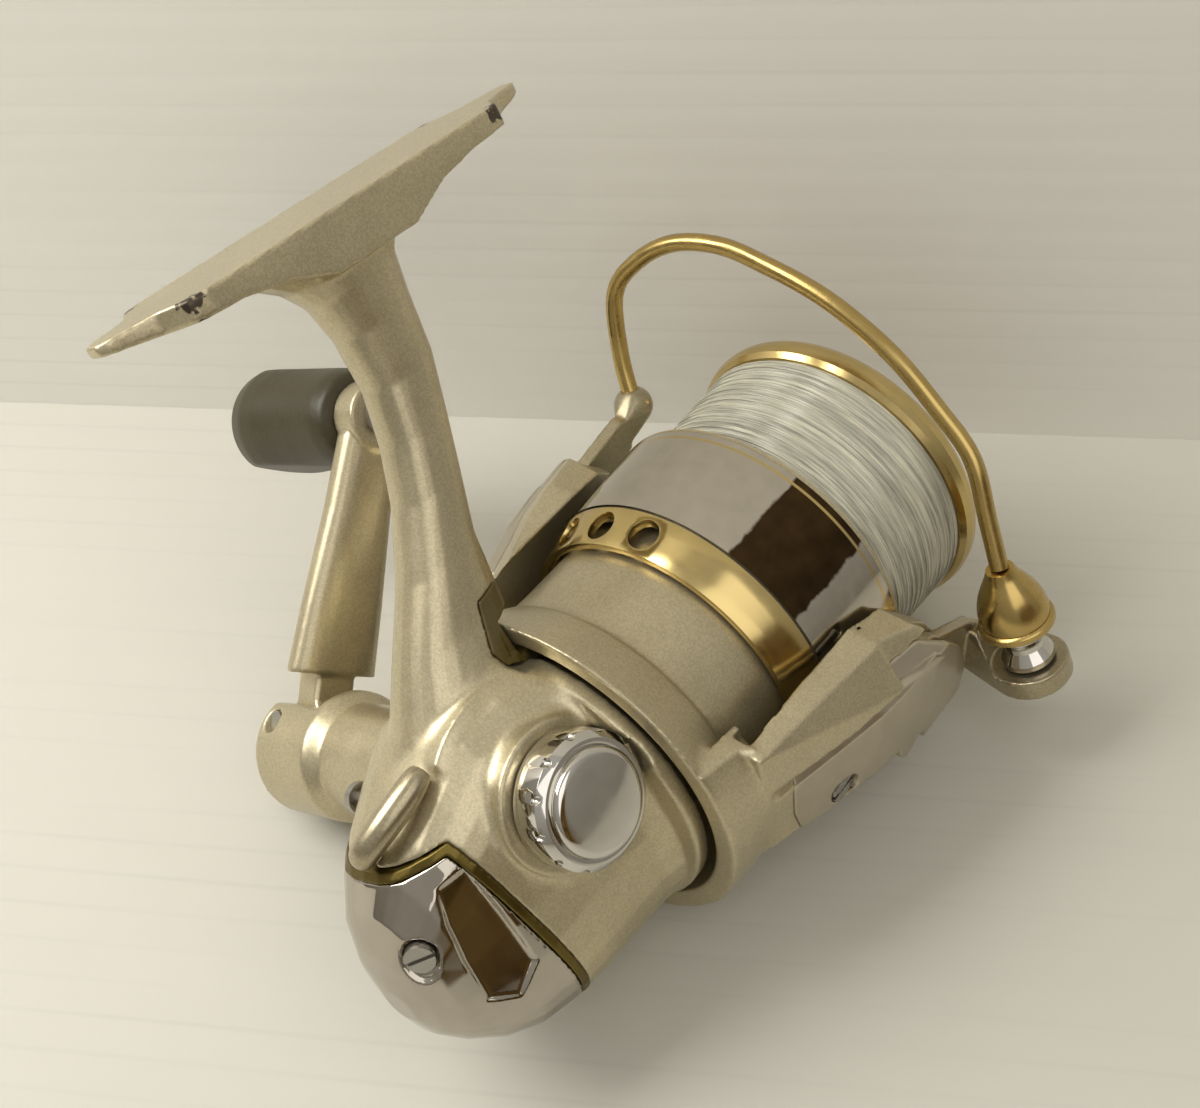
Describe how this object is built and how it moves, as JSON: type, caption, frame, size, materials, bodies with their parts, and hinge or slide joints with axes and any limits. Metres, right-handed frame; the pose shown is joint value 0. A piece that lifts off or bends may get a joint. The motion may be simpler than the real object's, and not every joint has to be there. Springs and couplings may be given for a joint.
{
  "type": "spinning fishing reel",
  "caption": "Front-drag spinning reel with foot and stem, gear housing, folding crank handle, two-armed rotor with wire bail, and a skirted spool wound with line.",
  "frame": {"origin": "centre of the foot's flat seat", "axes": "+X towards the spool's front along the foot, +Y towards the handle's side, +Z out of the foot's seat, away from the reel"},
  "size_m": [0.1052, 0.0988, 0.1014],
  "materials": {
    "champagne_paint": "die-cast, metallic champagne paint",
    "bail_paint": "die-cast, metallic champagne paint",
    "spool_metal": "champagne anodised",
    "knob_metal": "champagne anodised",
    "cover_chrome": "chrome plated, polished",
    "disc_mirror": "mirror polish",
    "arm_satin": "satin",
    "trim_olive": "olive",
    "gilt": "gold anodised, polished",
    "band_dark": "dark mirror band",
    "line_nylon": "translucent monofilament",
    "grip_rubber": "dark olive",
    "screw_steel": "plain",
    "steel": "plain",
    "roller_chrome": "polished",
    "brass_inner": "plain",
    "felt": "felt"
  },
  "bodies": {
    "housing": {"body": "champagne_paint", "side_plate": "champagne_paint", "side_plate_screws": "screw_steel", "rear_cover": "cover_chrome", "rear_cover_trim": "trim_olive", "rear_cover_screw": "screw_steel", "trip_insert": "trim_olive", "drive_bearings": "steel", "pinion_bearing": "steel", "pinion_bush": "brass_inner", "bearing_retainer": "steel", "retainer_screws": "screw_steel", "one_way_clutch": "steel", "guide_rod": "steel", "oscillating_axle": "steel"},
    "crank": {"drive_gear": "brass_inner", "handle_rod": "steel", "handle_cap": "cover_chrome", "handle_cap_disc": "disc_mirror", "handle_joint": "champagne_paint", "handle_fold_pin": "screw_steel"},
    "release_button": {"handle_release_button": "cover_chrome"},
    "arm": {"handle_arm": "champagne_paint", "knob_shaft": "screw_steel"},
    "knob": {"handle_knob": "grip_rubber", "knob_cap": "screw_steel"},
    "oscillator": {"oscillating_gear": "brass_inner"},
    "shaft": {"main_shaft": "steel", "oscillation_slider": "steel", "click_wheel": "steel"},
    "rotor": {"pinion_gear": "brass_inner", "clutch_sleeve": "steel", "rotor": "champagne_paint", "rotor_nut": "steel", "arm_cover_near": "arm_satin", "arm_cover_far": "arm_satin", "arm_cover_screws": "screw_steel", "bail_pivot_screws": "screw_steel", "bail_spring": "steel"},
    "kick": {"kick_lever": "steel"},
    "bail": {"bail_arm": "bail_paint", "bail_lever": "bail_paint", "bail_wire": "gilt", "roller_cone": "gilt", "roller_screw": "screw_steel", "roller_bush": "steel"},
    "roller": {"line_roller": "roller_chrome"},
    "spool": {"spool": "spool_metal", "label_band": "band_dark", "skirt_ring": "gilt", "spool_lip": "gilt", "spool_bush": "brass_inner", "line_core": "line_nylon", "line_winding": "line_nylon", "drag_felts": "felt", "drag_plates": "steel", "drag_retainer": "steel"},
    "drag_knob": {"drag_knob": "knob_metal", "drag_spring": "steel"},
    "lever": {"anti_reverse_lever": "bail_paint"}
  },
  "joints": [
    {"name": "handle_crank", "type": "hinge", "parent": "housing", "child": "crank", "pos_m": [-0.01622, 0, -0.07048], "axis": [0, 1, 0], "continuous": true},
    {"name": "rotor_spin", "type": "hinge", "parent": "housing", "child": "rotor", "pos_m": [-0.01559, 0, -0.07765], "axis": [0.9962, 0, 0.0872], "continuous": true},
    {"name": "oscillating_gear_spin", "type": "hinge", "parent": "housing", "child": "oscillator", "pos_m": [-0.0208, 0, -0.08413], "axis": [0, 1, 0], "continuous": true},
    {"name": "spool_stroke", "type": "slide", "parent": "housing", "child": "shaft", "axis": [0.9962, 0, 0.0872], "range_m": [-0.008, 0.008]},
    {"name": "spool_drag_spin", "type": "hinge", "parent": "shaft", "child": "spool", "pos_m": [-0.01559, 0, -0.07765], "axis": [0.9962, 0, 0.0872], "continuous": true},
    {"name": "drag_knob_turn", "type": "hinge", "parent": "shaft", "child": "drag_knob", "pos_m": [-0.01559, 0, -0.07765], "axis": [0.9962, 0, 0.0872], "range_deg": [-360, 360]},
    {"name": "bail_flip", "type": "hinge", "parent": "rotor", "child": "bail", "pos_m": [0.03023, 0, -0.07365], "axis": [-0.0436, 0.866, 0.4981], "range_deg": [0, 95]},
    {"name": "kick_lever_slide", "type": "slide", "parent": "rotor", "child": "kick", "axis": [0.9962, 0, 0.0872], "range_m": [-0.0018, 0]},
    {"name": "line_roller_spin", "type": "hinge", "parent": "bail", "child": "roller", "pos_m": [0.04852, -0.0287, -0.091], "axis": [-0.0861, -0.153, 0.9845], "continuous": true},
    {"name": "handle_fold", "type": "hinge", "parent": "crank", "child": "arm", "pos_m": [-0.0139, 0.041, -0.06772], "axis": [0.766, 0, -0.6428], "range_deg": [0, 35]},
    {"name": "knob_spin", "type": "hinge", "parent": "arm", "child": "knob", "pos_m": [0.01399, 0.04, -0.03448], "axis": [0, 1, 0], "continuous": true},
    {"name": "release_button_press", "type": "slide", "parent": "crank", "child": "release_button", "axis": [0, -1, 0], "range_m": [0, 0.0015], "stiffness_N_per_m": 400, "springref_m": -0.002},
    {"name": "anti_reverse_lever_turn", "type": "hinge", "parent": "housing", "child": "lever", "pos_m": [-0.0168, -0.0009, -0.06381], "axis": [0.9962, 0, 0.0872], "range_deg": [-50, 0]}
  ],
  "couplings": [
    {"joint": "rotor_spin", "follows": "handle_crank", "ratio": 5},
    {"joint": "oscillating_gear_spin", "follows": "handle_crank", "ratio": -0.45455},
    {"joint": "kick_lever_slide", "follows": "bail_flip", "m_per_rad": -0.001}
  ]
}
